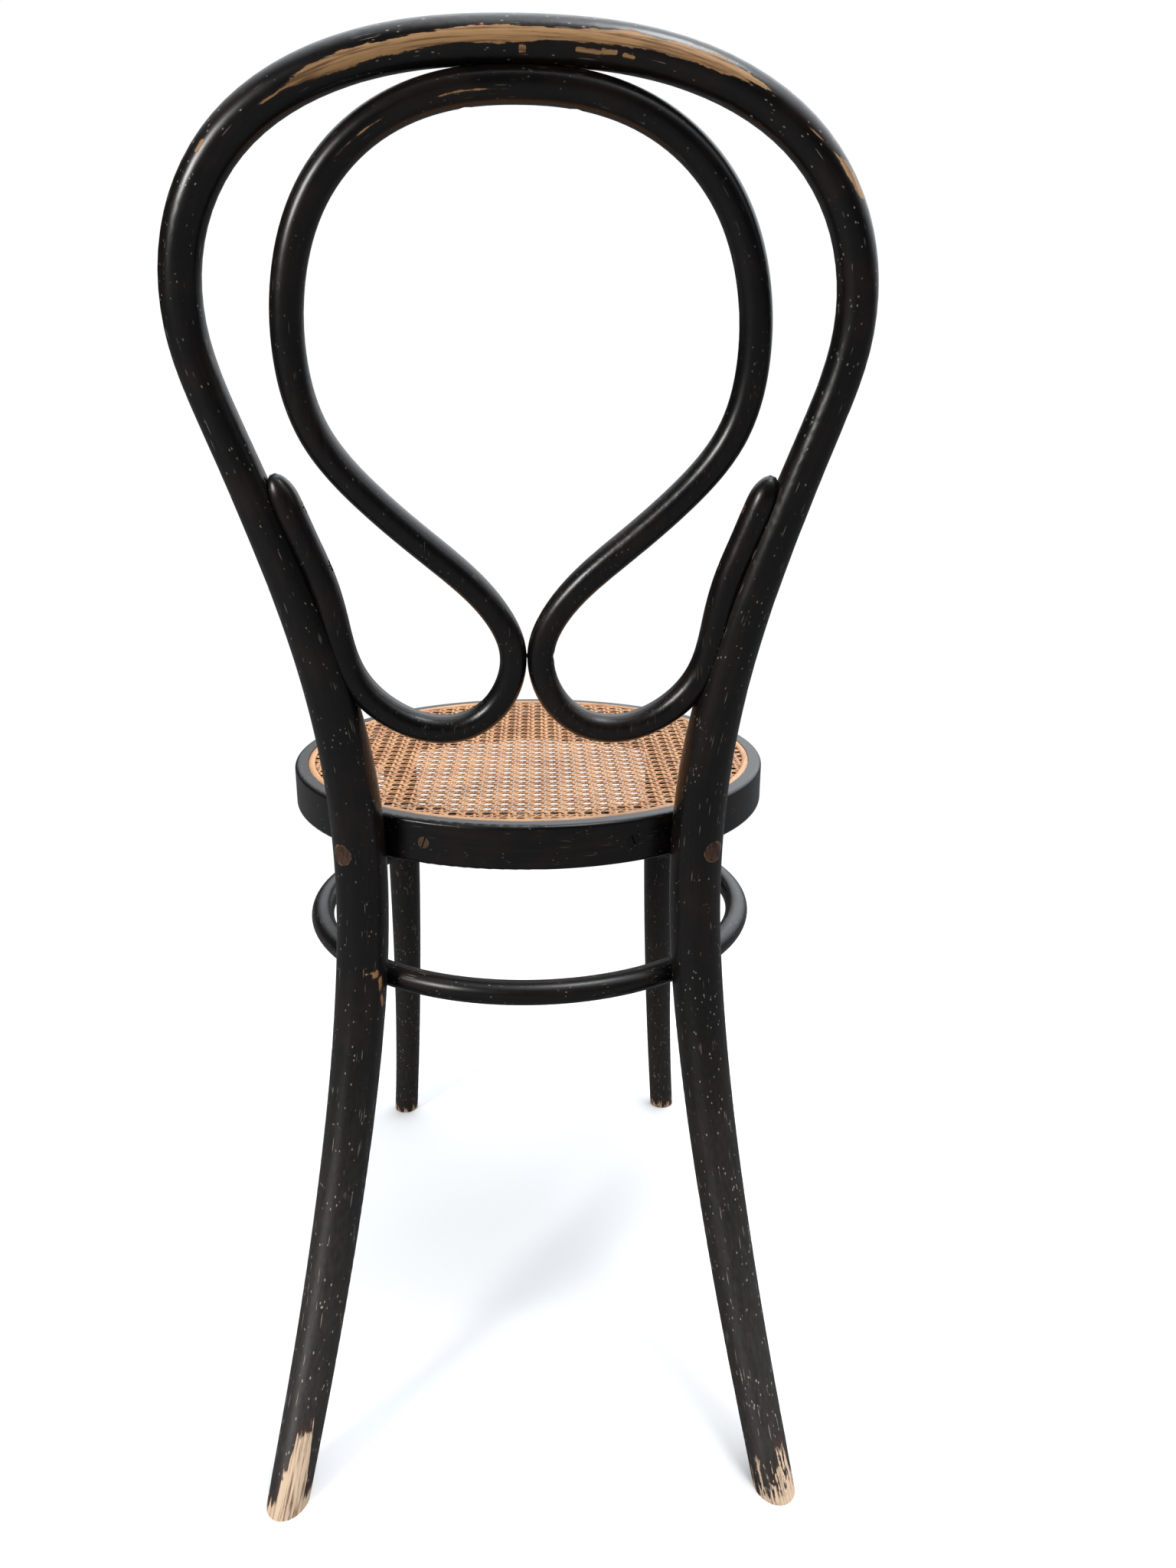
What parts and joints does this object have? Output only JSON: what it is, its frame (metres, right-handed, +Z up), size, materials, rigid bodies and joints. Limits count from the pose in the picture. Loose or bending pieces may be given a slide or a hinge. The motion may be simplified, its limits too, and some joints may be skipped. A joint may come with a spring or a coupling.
{
  "type": "bentwood bistro chair",
  "caption": "Bentwood bistro chair with a hoop back, curled inner loop, round caned seat, splayed legs and a foot ring.",
  "frame": {"origin": "on the floor, under the middle of the whole chair's outline", "axes": "+Z up, +Y towards the back, the sitter faces -Y, +X to the right from the front view"},
  "size_m": [0.4354, 0.5638, 0.9591],
  "materials": {
    "ebonised_wood": "satin black stain and polish, worn",
    "cane": "natural cane, varnished",
    "reed": "natural reed, varnished",
    "steel": "old steel, browned",
    "plug_wood": "red-brown wood, varnished"
  },
  "bodies": {
    "root": {"back_hoop": "ebonised_wood", "inner_loop": "ebonised_wood", "seat_ring": "ebonised_wood", "cane_webbing": "cane", "cane_reed": "reed", "front_leg_right": "ebonised_wood", "front_leg_left": "ebonised_wood", "foot_ring": "ebonised_wood", "leg_bolts": "steel", "leg_bolt_washers": "steel", "leg_bolt_nuts": "steel", "leg_plugs": "plug_wood", "seat_ring_screws": "steel", "foot_ring_screws": "steel", "loop_end_screws": "steel", "crown_screws": "steel", "throat_screw": "steel"}
  },
  "joints": []
}
